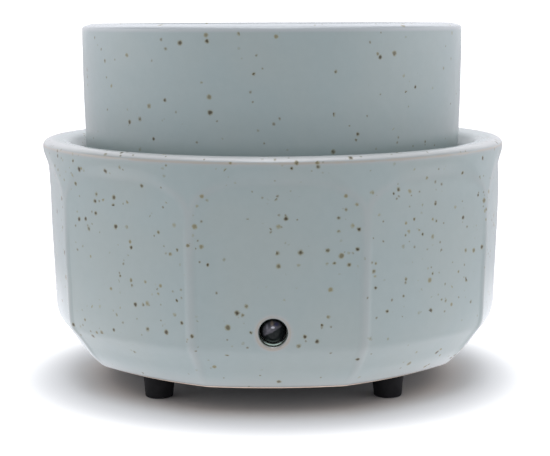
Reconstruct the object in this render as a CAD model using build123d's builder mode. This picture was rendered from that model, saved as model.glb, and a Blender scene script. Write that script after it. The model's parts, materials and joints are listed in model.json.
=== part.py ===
from build123d import *
import os
from math import cos, sin, radians, sqrt, tan, acos

# Wax melt warmer: a round stoneware base with nine arched panels and a lift-off stoneware dish.
# Millimetres. Origin: middle of the footprint on the table, +Z up, the lamp faces -Y.

os.makedirs("parts", exist_ok=True)

# ------------------------------------------------------------------ driving dimensions
base_r = 75.0            # rim and rib crests
panels = 9
panel_turn = 0.77        # degrees, the panels sit a little off the lamp
panel_arc_back = 42.0    # how far behind the middle each panel's own axis lies (flatter arc)
rim_z = 78.62
foot_edge_z = 7.9        # unglazed lower edge of the base
well_r = 62.9            # wall of the dish well, 2 mm clear of the dish
well_floor_z = 58.5
well_under_z = 53.0
plate_seat_r = 53.4
plate_seat_z = 57.0
stack_hole_r = 40.0      # opening in the well floor
cover_seat_r = 56.6
cover_seat_z = 10.4
shell_in_r = 54.6        # opening at the foot

lamp_z = 27.4
board_y = -55.1          # front of the lamp's board
board_t = 1.6
lamp_hole_r = 4.1
inlet_z = 30.0
inlet_hole_r = 6.1

dish_z0 = 60.6           # dish stands on the plate
dish_top = 115.72
dish_r = 61.6
dish_wall = 4.6
dish_floor = 5.5

foot_xy = 35.8           # four feet at +-45 degrees
foot_h = 8.6
foot_r_top = 5.15
foot_r_low = 4.3
cover_t = cover_seat_z - foot_h
cover_r = 56.2

plate_r = 52.8
plate_t = 3.0
gasket_t = 0.6
stud_r = 2.5
element_r = 38.0
post_r = 3.25
m3 = 1.5                 # M3 shank radius
fit = 0.05               # running clearance on screws

posts = [(foot_xy, -foot_xy), (-foot_xy, -foot_xy), (foot_xy, foot_xy), (-foot_xy, foot_xy)]

# stack heights, from the plate's underside down
z_plate = plate_seat_z + gasket_t      # 57.6
z_mica_up = z_plate - 0.5              # 57.1
z_core = z_mica_up - 0.6               # 56.5
z_mica_low = z_core - 0.5              # 56.0
z_press = z_mica_low - 1.0             # 55.0
z_support_top = 50.2
z_support = 49.0
lead_a = (14.0, 12.0)                  # where the two leads leave the element
lead_b = (-24.0, -15.0)


def save(bp, name):
    bp.part.label = name
    export_step(bp.part, "parts/" + name + ".step")


# ------------------------------------------------------------------ wax dish
with BuildPart() as wax_dish:
    with BuildSketch(Plane.XZ) as dish_section:
        with BuildLine():
            Line((0, dish_z0), (58.0, dish_z0))
            ThreePointArc((58.0, dish_z0), (59.85, dish_z0 + 0.75), (60.62, dish_z0 + 2.6))
            Polyline((60.62, dish_z0 + 2.6), (61.14, 83.2), (61.5, 97.5), (dish_r, dish_top - dish_wall / 2))
            ThreePointArc((dish_r, dish_top - dish_wall / 2), (dish_r - dish_wall / 2, dish_top),
                          (dish_r - dish_wall, dish_top - dish_wall / 2))
            Line((dish_r - dish_wall, dish_top - dish_wall / 2), (56.2, 78.0))
            ThreePointArc((56.2, 78.0), (52.9, 69.6), (44.5, dish_z0 + dish_floor + 0.4))
            Polyline((44.5, dish_z0 + dish_floor + 0.4), (0, dish_z0 + dish_floor), (0, dish_z0))
        make_face()
    revolve(axis=Axis.Z)
save(wax_dish, "wax_dish")

# ------------------------------------------------------------------ base shell
# One pocket tool: an arched window with canted sides, less the flatter panel body behind it.
with BuildPart() as pocket:
    for depth, half, flat, spring, top in ((69.0, 24.2, 4.3, 58.2, 70.7), (77.0, 28.0, 5.2, 58.8, 73.7)):
        with BuildSketch(Plane.XZ.offset(depth)):
            with BuildLine():
                kx = flat + (half - flat) * 0.7071
                kz = spring + (top - spring) * 0.7071
                Polyline((-half, spring), (-half, 3.0), (half, 3.0), (half, spring))
                ThreePointArc((half, spring), (kx, kz), (flat, top))
                Line((flat, top), (-flat, top))
                ThreePointArc((-flat, top), (-kx, kz), (-half, spring))
            make_face()
    loft(ruled=True)
    panel_profile = [(60.0, 8.4), (62.0, 10.0), (71.5, 23.4), (72.2, 27.5), (73.1, 49.0), (73.6, 68.4),
                     (74.35, 72.3), (74.9, 75.0), (75.4, 78.0)]
    with BuildSketch(Plane.XZ.offset(-panel_arc_back)):
        with BuildLine():
            Polyline([(0, 2.0), (55.0 + panel_arc_back, 2.0)]
                     + [(r + panel_arc_back, z) for r, z in panel_profile]
                     + [(0, 78.0), (0, 2.0)])
        make_face()
    revolve(axis=Axis((0, panel_arc_back, 0), (0, 0, 1)), mode=Mode.SUBTRACT)

with BuildPart() as base_shell:
    with BuildSketch(Plane.XZ) as base_section:
        with BuildLine():
            Line((cover_seat_r, foot_edge_z), (58.4, foot_edge_z))
            ThreePointArc((58.4, foot_edge_z), (60.9, 8.45), (62.7, 10.2))
            Polyline((62.7, 10.2), (73.1, 23.0), (74.1, 27.0), (base_r, 46.0), (base_r, 76.6))
            ThreePointArc((base_r, 76.6), (74.4, 77.85), (73.0, rim_z))
            Line((73.0, rim_z), (67.6, 78.1))
            ThreePointArc((67.6, 78.1), (65.3, 77.0), (64.0, 74.6))
            Polyline((64.0, 74.6), (well_r, 69.5), (well_r - 0.1, 60.2))
            ThreePointArc((well_r - 0.1, 60.2), (well_r - 0.55, 58.98), (well_r - 1.7, well_floor_z))
            Polyline((well_r - 1.7, well_floor_z), (plate_seat_r, well_floor_z), (plate_seat_r, plate_seat_z),
                     (stack_hole_r, plate_seat_z), (stack_hole_r, well_under_z), (66.0, well_under_z),
                     (68.1, 50.9), (67.7, 40.0), (67.1, 27.0), (66.5, 24.0), (59.6, 12.6),
                     (57.0, 11.6), (shell_in_r, 11.6), (shell_in_r, cover_seat_z),
                     (cover_seat_r, cover_seat_z), (cover_seat_r, foot_edge_z))
        make_face()
    revolve(axis=Axis.Z)
    with PolarLocations(0, panels, start_angle=panel_turn):
        add(pocket.part, mode=Mode.SUBTRACT)
    with BuildSketch(Plane.XZ.offset(60)):
        with Locations((0, lamp_z)):
            Circle(lamp_hole_r)
    extrude(amount=20, mode=Mode.SUBTRACT)
    with BuildSketch(Plane.XZ.offset(-60)):
        with Locations((0, inlet_z)):
            Circle(inlet_hole_r)
    extrude(amount=-20, mode=Mode.SUBTRACT)
    with BuildSketch(Plane.XZ.offset(-72.4)):
        with Locations((0, inlet_z)):
            Circle(7.7)
    extrude(amount=-6, mode=Mode.SUBTRACT)
save(base_shell, "base_shell")

# ------------------------------------------------------------------ heating stack
with BuildPart() as hot_plate:
    with BuildSketch(Plane.XY.offset(z_plate)):
        Circle(plate_r)
    extrude(amount=plate_t)
    chamfer(hot_plate.edges().filter_by(GeomType.CIRCLE).group_by(Axis.Z)[-1], 0.6)
    with BuildSketch(Plane.XY.offset(z_plate)):
        Circle(stud_r)
    extrude(amount=1.5, mode=Mode.SUBTRACT)
save(hot_plate, "hot_plate")

with BuildPart() as plate_gasket:
    with BuildSketch(Plane.XY.offset(plate_seat_z)):
        Circle(52.4)
        Circle(41.0, mode=Mode.SUBTRACT)
    extrude(amount=gasket_t)
save(plate_gasket, "plate_gasket")

with BuildPart() as centre_stud:
    with BuildSketch(Plane.XY.offset(43.0)):
        Circle(stud_r)
    extrude(amount=z_plate + 1.5 - 43.0)
    chamfer(centre_stud.edges().filter_by(GeomType.CIRCLE).group_by(Axis.Z)[0], 0.4)
save(centre_stud, "centre_stud")

with BuildPart() as mica_upper:
    with BuildSketch(Plane.XY.offset(z_mica_up)):
        Circle(element_r)
        Circle(stud_r + 0.3, mode=Mode.SUBTRACT)
    extrude(amount=0.5)
save(mica_upper, "mica_upper")

with BuildPart() as heater_core:
    with BuildSketch(Plane.XY.offset(z_core)):
        Circle(element_r - 1.0)
        Circle(stud_r + 1.5, mode=Mode.SUBTRACT)
    extrude(amount=0.6)
save(heater_core, "heater_core")

with BuildPart() as mica_lower:
    with BuildSketch(Plane.XY.offset(z_mica_low)):
        Circle(element_r)
        Circle(stud_r + 0.3, mode=Mode.SUBTRACT)
        with Locations(lead_a, lead_b):
            Circle(1.8, mode=Mode.SUBTRACT)
    extrude(amount=0.5)
save(mica_lower, "mica_lower")

with BuildPart() as heater_pressure_plate:
    with BuildSketch(Plane.XY.offset(z_press)):
        Circle(element_r + 0.5)
        Circle(stud_r + 0.3, mode=Mode.SUBTRACT)
        with Locations(lead_a, lead_b):
            Circle(1.8, mode=Mode.SUBTRACT)
    extrude(amount=1.0)
save(heater_pressure_plate, "heater_pressure_plate")

with BuildPart() as insulation_pad:
    with BuildSketch(Plane.XY.offset(z_support_top)):
        Circle(element_r - 0.5)
        Circle(stud_r + 0.5, mode=Mode.SUBTRACT)
        with Locations(lead_a, lead_b):
            Circle(1.8, mode=Mode.SUBTRACT)
    extrude(amount=z_press - z_support_top)
save(insulation_pad, "insulation_pad")

with BuildPart() as insulation_ring:
    with BuildSketch(Plane.XY.offset(z_support_top)):
        Circle(46.5)
        Circle(41.0, mode=Mode.SUBTRACT)
    extrude(amount=well_under_z - z_support_top)
save(insulation_ring, "insulation_ring")

with BuildPart() as support_plate:
    with BuildSketch(Plane.XY.offset(z_support)):
        Circle(53.8)
        Circle(stud_r + 0.3, mode=Mode.SUBTRACT)
        with Locations(lead_a, lead_b):
            Circle(1.8, mode=Mode.SUBTRACT)
        with Locations(*posts):
            Circle(m3 + 0.2, mode=Mode.SUBTRACT)
        with Locations((-30.0, 3.0)):
            Circle(m3 + fit, mode=Mode.SUBTRACT)
        with PolarLocations(46.0, 4, start_angle=0):
            SlotOverall(20.0, 6.0, rotation=90, mode=Mode.SUBTRACT)
    extrude(amount=z_support_top - z_support)
save(support_plate, "support_plate")

with BuildPart() as stud_washer:
    with BuildSketch(Plane.XY.offset(z_support - 1.0)):
        Circle(6.0)
        Circle(stud_r + 0.2, mode=Mode.SUBTRACT)
    extrude(amount=1.0)
save(stud_washer, "stud_washer")

with BuildPart() as stud_nut:
    with BuildSketch(Plane.XY.offset(z_support - 5.0)):
        RegularPolygon(4.62, 6)
        Circle(stud_r + fit, mode=Mode.SUBTRACT)
    extrude(amount=4.0)
save(stud_nut, "stud_nut")

# ------------------------------------------------------------------ posts, feet and their screws
for i, (px, py) in enumerate(posts, start=1):
    with BuildPart() as standoff:
        with BuildSketch(Plane.XY.offset(cover_seat_z)):
            with Locations((px, py)):
                RegularPolygon(post_r, 6, major_radius=False)
                Circle(m3 + fit, mode=Mode.SUBTRACT)
        extrude(amount=z_support - cover_seat_z)
    save(standoff, "standoff_%d" % i)

    with BuildPart() as standoff_screw:
        with BuildSketch(Plane.XY.offset(z_support_top)):
            with Locations((px, py)):
                Circle(2.75)
        extrude(amount=2.0)
        fillet(standoff_screw.edges().filter_by(GeomType.CIRCLE).group_by(Axis.Z)[-1], 0.8)
        with BuildSketch(Plane.XY.offset(z_support_top - 10.0)):
            with Locations((px, py)):
                Circle(m3)
        extrude(amount=10.0)
    save(standoff_screw, "standoff_screw_%d" % i)

    with BuildPart() as rubber_foot:
        with BuildSketch(Plane(origin=(px, py, 0), x_dir=(1, 0, 0), z_dir=(0, -1, 0))):
            with BuildLine():
                Polyline((m3 + 0.2, 4.2), (3.0, 4.2), (3.0, 0), (3.7, 0))
                ThreePointArc((3.7, 0), (4.2, 0.28), (foot_r_low + 0.11, 0.95))
                Polyline((foot_r_low + 0.11, 0.95), (foot_r_top, foot_h), (m3 + 0.2, foot_h), (m3 + 0.2, 4.2))
            make_face()
        revolve(axis=Axis((px, py, 0), (0, 0, 1)))
    save(rubber_foot, "rubber_foot_%d" % i)

    with BuildPart() as foot_washer:
        with BuildSketch(Plane.XY.offset(3.6)):
            with Locations((px, py)):
                Circle(2.9)
                Circle(m3 + 0.1, mode=Mode.SUBTRACT)
        extrude(amount=0.6)
    save(foot_washer, "foot_washer_%d" % i)

    with BuildPart() as foot_screw:
        with BuildSketch(Plane.XY.offset(1.6)):
            with Locations((px, py)):
                Circle(2.6)
        extrude(amount=2.0)
        fillet(foot_screw.edges().filter_by(GeomType.CIRCLE).group_by(Axis.Z)[0], 0.7)
        with BuildSketch(Plane.XY.offset(3.6)):
            with Locations((px, py)):
                Circle(m3)
        extrude(amount=16.4)
        with BuildSketch(Plane.XY.offset(1.6)):
            with Locations((px, py)):
                Rectangle(3.0, 0.6)
                Rectangle(0.6, 3.0)
        extrude(amount=1.0, mode=Mode.SUBTRACT)
    save(foot_screw, "foot_screw_%d" % i)

# ------------------------------------------------------------------ bottom cover
with BuildPart() as bottom_cover:
    with BuildSketch(Plane.XY.offset(foot_h)):
        Circle(cover_r)
        with Locations(*posts):
            Circle(m3 + 0.2, mode=Mode.SUBTRACT)
        with Locations((0, -46.0), (0, 32.0)):
            Circle(m3 + fit, mode=Mode.SUBTRACT)
        with PolarLocations(13.0, 10):
            Circle(1.6, mode=Mode.SUBTRACT)
        with PolarLocations(20.0, 14):
            Circle(1.6, mode=Mode.SUBTRACT)
    extrude(amount=cover_t)
    chamfer(bottom_cover.edges().filter_by(GeomType.CIRCLE).filter_by(
        lambda e: abs(e.radius - cover_r) < 0.01).group_by(Axis.Z)[0], 0.5)
save(bottom_cover, "bottom_cover")

# ------------------------------------------------------------------ indicator lamp
with BuildPart() as indicator_lens:
    with BuildSketch(Plane.XY.offset(lamp_z)):
        with BuildLine():
            Polyline((2.6, -58.0), (3.9, -58.0), (3.9, -71.3))
            ThreePointArc((3.9, -71.3), (2.1, -72.65), (0, -73.1))
            Polyline((0, -73.1), (0, -65.4), (2.6, -64.4), (2.6, -58.0))
        make_face()
    revolve(axis=Axis((0, 0, lamp_z), (0, 1, 0)))
save(indicator_lens, "indicator_lens")

with BuildPart() as lens_retainer:
    with BuildSketch(Plane.XZ.offset(62.9)):
        with Locations((0, lamp_z)):
            Circle(5.6)
            Circle(3.95, mode=Mode.SUBTRACT)
    extrude(amount=2.3)
save(lens_retainer, "lens_retainer")

with BuildPart() as indicator_lamp:
    with BuildSketch(Plane.XY.offset(lamp_z)):
        with BuildLine():
            Polyline((0, board_y), (2.8, board_y), (2.8, board_y - 1.2), (2.4, board_y - 1.2), (2.4, -61.4))
            ThreePointArc((2.4, -61.4), (1.4, -60.7 - sqrt(2.5 ** 2 - 1.4 ** 2)), (0, -63.2))
            Line((0, -63.2), (0, board_y))
        make_face()
    revolve(axis=Axis((0, 0, lamp_z), (0, 1, 0)))
save(indicator_lamp, "indicator_lamp")

with BuildPart() as lamp_board:
    with BuildSketch(Plane.XZ.offset(-board_y - board_t)):
        with Locations((0, lamp_z)):
            Rectangle(18.0, 16.0)
    extrude(amount=board_t)
save(lamp_board, "lamp_board")

for name, z0, body_r, body_l, leg_x in (("lamp_resistor", lamp_z + 5.8, 1.2, 6.4, 4.4),
                                        ("lamp_diode", lamp_z - 5.6, 0.95, 4.4, 3.4)):
    with BuildPart() as bead:
        with BuildSketch(Plane.YZ.offset(-body_l / 2)):
            with Locations((board_y - 1.4, z0)):
                Circle(body_r)
        extrude(amount=body_l)
        with BuildSketch(Plane.YZ.offset(-leg_x)):
            with Locations((board_y - 1.4, z0)):
                Circle(0.3)
        extrude(amount=2 * leg_x)
        with BuildSketch(Plane.XZ.offset(-board_y)):
            with Locations((-leg_x + 0.3, z0), (leg_x - 0.3, z0)):
                Circle(0.3)
        extrude(amount=1.4)
    save(bead, name)

with BuildPart() as lamp_bracket:
    with BuildSketch(Plane.XY.offset(cover_seat_z)):
        with Locations((0, -47.75)):
            Rectangle(16.0, 11.5)
        with Locations((0, -46.0)):
            Circle(m3 + 0.1, mode=Mode.SUBTRACT)
    extrude(amount=1.5)
    with BuildSketch(Plane.XZ.offset(52.0)):
        with Locations((0, (cover_seat_z + 30.0) / 2)):
            Rectangle(16.0, 30.0 - cover_seat_z)
    extrude(amount=1.5)
save(lamp_bracket, "lamp_bracket")

with BuildPart() as lamp_bracket_screw:
    with BuildSketch(Plane.XY.offset(cover_seat_z + 1.5)):
        with Locations((0, -46.0)):
            Circle(2.6)
    extrude(amount=1.8)
    fillet(lamp_bracket_screw.edges().filter_by(GeomType.CIRCLE).group_by(Axis.Z)[-1], 0.7)
    with BuildSketch(Plane.XY.offset(8.8)):
        with Locations((0, -46.0)):
            Circle(m3)
    extrude(amount=cover_seat_z + 1.5 - 8.8)
save(lamp_bracket_screw, "lamp_bracket_screw")

# ------------------------------------------------------------------ overheat cut-off
fuse_x, fuse_z = -24.0, 45.7
with BuildPart() as thermal_fuse:
    with BuildSketch(Plane.XZ.offset(3.0)):
        with Locations((fuse_x, fuse_z)):
            Circle(2.0)
    extrude(amount=-12.0)
save(thermal_fuse, "thermal_fuse")

with BuildPart() as fuse_sleeve:
    with BuildSketch(Plane.XZ.offset(5.5)):
        with Locations((fuse_x, fuse_z)):
            Circle(2.6)
            Circle(2.05, mode=Mode.SUBTRACT)
    extrude(amount=-17.0)
save(fuse_sleeve, "fuse_sleeve")

with BuildPart() as fuse_clip:
    with BuildSketch(Plane.XZ.offset(-1.0)):
        with Locations((fuse_x, fuse_z)):
            Circle(3.3)
        with Locations(((fuse_x - 33.5) / 2, z_support - 0.4)):
            Rectangle(33.5 + fuse_x, 0.8)
        with Locations((fuse_x, fuse_z)):
            Circle(2.65, mode=Mode.SUBTRACT)
    extrude(amount=-4.0)
    with BuildSketch(Plane.XY.offset(z_support - 0.8)):
        with Locations((-30.0, 3.0)):
            Circle(m3 + 0.1)
    extrude(amount=0.8, mode=Mode.SUBTRACT)
save(fuse_clip, "fuse_clip")

with BuildPart() as fuse_clip_screw:
    with BuildSketch(Plane.XY.offset(z_support - 2.6)):
        with Locations((-30.0, 3.0)):
            Circle(2.5)
    extrude(amount=1.8)
    fillet(fuse_clip_screw.edges().filter_by(GeomType.CIRCLE).group_by(Axis.Z)[0], 0.7)
    with BuildSketch(Plane.XY.offset(z_support - 0.8)):
        with Locations((-30.0, 3.0)):
            Circle(m3)
    extrude(amount=1.9)
save(fuse_clip_screw, "fuse_clip_screw")

# ------------------------------------------------------------------ terminal block
block_z1 = 22.4
with BuildPart() as terminal_block:
    with BuildSketch(Plane.XY.offset(cover_seat_z)):
        with Locations((0, 32.0)):
            Rectangle(22.0, 14.0)
            Circle(m3 + 0.1, mode=Mode.SUBTRACT)
    extrude(amount=block_z1 - cover_seat_z)
    with BuildSketch(Plane.XY.offset(block_z1)):
        with Locations((0, 32.0)):
            Circle(2.9)
    extrude(amount=-4.0, mode=Mode.SUBTRACT)
    with BuildSketch(Plane.XY.offset(block_z1)):
        with Locations((-6.5, 32.0), (6.5, 32.0)):
            Circle(2.5)
    extrude(amount=-3.0, mode=Mode.SUBTRACT)
    with BuildSketch(Plane.XZ.offset(-39.0)):
        with Locations((-6.5, 15.5), (6.5, 15.5)):
            Circle(1.9)
    extrude(amount=5.0, mode=Mode.SUBTRACT)
save(terminal_block, "terminal_block")

for i, sx in enumerate((-6.5, 6.5), start=1):
    with BuildPart() as terminal_screw:
        with BuildSketch(Plane.XY.offset(block_z1 - 3.0)):
            with Locations((sx, 32.0)):
                Circle(2.3)
        extrude(amount=1.8)
        with BuildSketch(Plane.XY.offset(block_z1 - 1.2)):
            with Locations((sx, 32.0)):
                Rectangle(4.6, 0.6)
        extrude(amount=-0.8, mode=Mode.SUBTRACT)
    save(terminal_screw, "terminal_screw_%d" % i)

with BuildPart() as terminal_block_screw:
    with BuildSketch(Plane.XY.offset(block_z1 - 4.0)):
        with Locations((0, 32.0)):
            Circle(2.6)
    extrude(amount=1.8)
    with BuildSketch(Plane.XY.offset(8.8)):
        with Locations((0, 32.0)):
            Circle(m3)
    extrude(amount=block_z1 - 4.0 - 8.8)
save(terminal_block_screw, "terminal_block_screw")


# ------------------------------------------------------------------ inner leads
def corner_radii(pts):
    """Largest fair radius at each inner point: 0.45 of the shorter run over tan(half the turn)."""
    radii = []
    for a, b, c in zip(pts, pts[1:], pts[2:]):
        u = [b[k] - a[k] for k in range(3)]
        v = [c[k] - b[k] for k in range(3)]
        lu = sqrt(sum(t * t for t in u))
        lv = sqrt(sum(t * t for t in v))
        turn = acos(max(-1.0, min(1.0, sum(p * q for p, q in zip(u, v)) / lu / lv)))
        radii.append(0.45 * min(lu, lv) / tan(turn / 2))
    return radii


leads = {
    "heater_lead": (1.1, [(lead_a[0], lead_a[1], z_core), (14.0, 12.0, 42.0), (12.0, 12.6, 29.0),
                          (6.5, 16.4, 19.0), (6.5, 25.0, 19.0)]),
    "heater_fuse_lead": (1.1, [(lead_b[0], lead_b[1], z_core), (-24.0, -15.0, fuse_z),
                               (fuse_x, -3.0, fuse_z)]),
    "fuse_lead": (1.1, [(fuse_x, 9.0, fuse_z), (fuse_x, 19.0, fuse_z), (-20.5, 21.0, 35.0),
                        (-13.0, 17.6, 25.0), (-6.5, 17.0, 19.0), (-6.5, 25.0, 19.0)]),
    "lamp_lead_1": (0.75, [(6.0, board_y + board_t, 33.0), (6.0, -44.0, 33.0), (9.0, -27.0, 24.0),
                           (8.6, -8.0, 17.4), (6.5, 9.0, 14.4), (6.5, 25.0, 14.4)]),
    "lamp_lead_2": (0.75, [(-6.0, board_y + board_t, 33.0), (-6.0, -43.0, 33.0), (-10.0, -25.0, 22.6),
                           (-9.6, -7.0, 16.6), (-6.5, 9.0, 14.4), (-6.5, 25.0, 14.4)]),
}
for name, (lead_r, pts) in leads.items():
    radii = corner_radii(pts)
    print(name, "radii", [round(v, 1) for v in radii])
    with BuildPart() as lead:
        with BuildLine() as route:
            FilletPolyline(*pts, radius=radii)
        run = route.wires()[0]
        length = run.length
        with BuildSketch(Plane(origin=run @ 0, z_dir=run % 0)):
            Circle(lead_r)
        sweep()
    print(name, "volume", round(lead.part.volume, 2), "expected", round(3.14159265 * lead_r ** 2 * length, 2))
    save(lead, name)

# ------------------------------------------------------------------ cord inlet
with BuildPart() as cord_grommet:
    with BuildSketch(Plane.XY.offset(inlet_z)):
        with BuildLine():
            Polyline((3.1, 63.6), (6.9, 63.6), (6.9, 65.4), (6.0, 65.4), (6.0, 72.4), (7.3, 72.4),
                     (7.3, 73.6), (6.7, 74.2), (3.1, 74.2), (3.1, 63.6))
        make_face()
    revolve(axis=Axis((0, 0, inlet_z), (0, 1, 0)))
save(cord_grommet, "cord_grommet")
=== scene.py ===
import json
import math

import bpy
import numpy as np
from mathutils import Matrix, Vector


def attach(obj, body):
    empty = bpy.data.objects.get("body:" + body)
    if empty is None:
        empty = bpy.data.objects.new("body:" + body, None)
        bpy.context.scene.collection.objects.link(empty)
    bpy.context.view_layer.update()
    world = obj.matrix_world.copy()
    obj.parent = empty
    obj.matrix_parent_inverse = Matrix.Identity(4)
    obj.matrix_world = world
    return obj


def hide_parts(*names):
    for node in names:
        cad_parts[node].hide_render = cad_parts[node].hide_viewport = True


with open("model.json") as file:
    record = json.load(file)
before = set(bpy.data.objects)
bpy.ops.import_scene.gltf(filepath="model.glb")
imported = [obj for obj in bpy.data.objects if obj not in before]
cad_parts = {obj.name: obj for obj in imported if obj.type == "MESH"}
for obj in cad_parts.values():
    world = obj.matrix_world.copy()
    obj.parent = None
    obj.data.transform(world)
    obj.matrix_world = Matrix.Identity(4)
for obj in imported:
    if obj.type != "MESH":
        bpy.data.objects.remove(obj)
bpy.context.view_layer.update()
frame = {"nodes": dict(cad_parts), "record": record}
nodes = frame["nodes"]

# ------------------------------------------------------------------ camera
cam_data = bpy.data.cameras.new("camera")
cam_data.sensor_width = 36.0
cam_data.lens = 101.308
cam_data.clip_start = 0.01
cam_data.clip_end = 50.0
cam = bpy.data.objects.new("camera", cam_data)
bpy.context.scene.collection.objects.link(cam)
cam.location = (0.000641, -0.510, 0.117775)
cam.rotation_mode = "XYZ"
pitch, roll = math.radians(7.770), math.radians(0.198)
look = Vector((0, math.cos(pitch), -math.sin(pitch)))
right = Vector((1, 0, 0))
up = right.cross(look)
tilt_right = right * math.cos(roll) - up * math.sin(roll)
tilt_up = right * math.sin(roll) + up * math.cos(roll)
basis = [[tilt_right[k], tilt_up[k], -look[k]] for k in range(3)]
from mathutils import Matrix
cam.rotation_euler = Matrix(basis).to_euler("XYZ")
bpy.context.scene.camera = cam


# ------------------------------------------------------------------ mesh helpers (all sizes in millimetres)
def pchip(xs, ys):
    """A smooth monotone curve through the points, as a function of arrays."""
    xs, ys = np.asarray(xs, float), np.asarray(ys, float)
    h, d = np.diff(xs), np.diff(ys) / np.diff(xs)
    m = np.zeros(len(xs))
    m[0], m[-1] = d[0], d[-1]
    for k in range(1, len(xs) - 1):
        if d[k - 1] * d[k] > 0:
            w1, w2 = 2 * h[k] + h[k - 1], h[k] + 2 * h[k - 1]
            m[k] = (w1 + w2) / (w1 / d[k - 1] + w2 / d[k])

    def f(x):
        x = np.clip(np.asarray(x, float), xs[0], xs[-1])
        k = np.clip(np.searchsorted(xs, x) - 1, 0, len(xs) - 2)
        t = (x - xs[k]) / h[k]
        return ((2 * t**3 - 3 * t**2 + 1) * ys[k] + (t**3 - 2 * t**2 + t) * h[k] * m[k]
                + (-2 * t**3 + 3 * t**2) * ys[k + 1] + (t**3 - t**2) * h[k] * m[k + 1])

    return f


def ease(t):
    t = np.clip(t, 0, 1)
    return t * t * (3 - 2 * t)


def add_mesh(name, verts, faces, material, attrs=None, smooth=True, sharp=None):
    me = bpy.data.meshes.new(name)
    me.from_pydata((np.asarray(verts, float) * 0.001).tolist(), [], [tuple(int(k) for k in f) for f in faces])
    me.validate()
    me.polygons.foreach_set("use_smooth", [smooth] * len(me.polygons))
    for key, values in (attrs or {}).items():
        a = me.attributes.new(key, "FLOAT", "POINT")
        a.data.foreach_set("value", np.asarray(values, np.float32))
    ob = bpy.data.objects.new(name, me)
    bpy.context.scene.collection.objects.link(ob)
    ob.data.materials.append(material)
    if sharp is not None:
        me.set_sharp_from_angle(angle=math.radians(sharp))
    return ob


def round_path(pts, closed=False, step=0.25):
    """Points (r, z, corner radius) to a finer path with its corners rounded."""
    out, n = [], len(pts)
    for k, (x, y, rad) in enumerate(pts):
        p = np.array([x, y], float)
        if rad <= 0 or (not closed and k in (0, n - 1)):
            out.append(p)
            continue
        a = np.array(pts[(k - 1) % n][:2], float) - p
        b = np.array(pts[(k + 1) % n][:2], float) - p
        la, lb = np.linalg.norm(a), np.linalg.norm(b)
        a, b = a / la, b / lb
        half = math.acos(max(-1, min(1, float(a @ b)))) / 2
        cut = min(rad / math.tan(half), 0.49 * la, 0.49 * lb)
        rad = cut * math.tan(half)
        mid = (a + b) / np.linalg.norm(a + b)
        c = p + mid * rad / math.sin(half)
        p0, p1 = p + a * cut, p + b * cut
        t0 = math.atan2(*(p0 - c)[::-1])
        dt = math.atan2(*(p1 - c)[::-1]) - t0
        dt = (dt + math.pi) % (2 * math.pi) - math.pi
        steps = max(3, int(abs(dt) * rad / step) + 1)
        for q in range(steps + 1):
            t = t0 + dt * q / steps
            out.append(c + rad * np.array([math.cos(t), math.sin(t)]))
    return np.array(out)


def split_path(path, longest, closed=False):
    """The same path with no step longer than the given length."""
    pts = [path[0]]
    nxt = list(path[1:]) + ([path[0]] if closed else [])
    for p in nxt:
        a = pts[-1]
        k = max(1, int(math.ceil(np.linalg.norm(np.asarray(p) - a) / longest)))
        for q in range(1, k + 1):
            pts.append(a + (np.asarray(p) - a) * q / k)
    return np.array(pts[:-1] if closed else pts)


def lathe(path, n, closed, radial=None):
    """Turns a path of (r, z) about Z. A path end at r = 0 becomes one point."""
    ang = np.arange(n) * 2 * math.pi / n
    verts, rows, faces = [], [], []
    for r, z in path:
        if r < 1e-9:
            rows.append([len(verts)] * n)
            verts.append((0, 0, z))
        else:
            base = len(verts)
            rr = np.full(n, r) if radial is None else r * radial(ang, z)
            verts.extend(np.stack([rr * np.sin(ang), -rr * np.cos(ang), np.full(n, z)], 1).tolist())
            rows.append(list(range(base, base + n)))
    m = len(rows)
    for j in range(m if closed else m - 1):
        a, b = rows[j], rows[(j + 1) % m]
        for i in range(n):
            k = (i + 1) % n
            q = []
            for v in (a[i], a[k], b[k], b[i]):
                if v not in q:
                    q.append(v)
            if len(q) > 2:
                faces.append(q)
    return np.array(verts, float), faces


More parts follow.
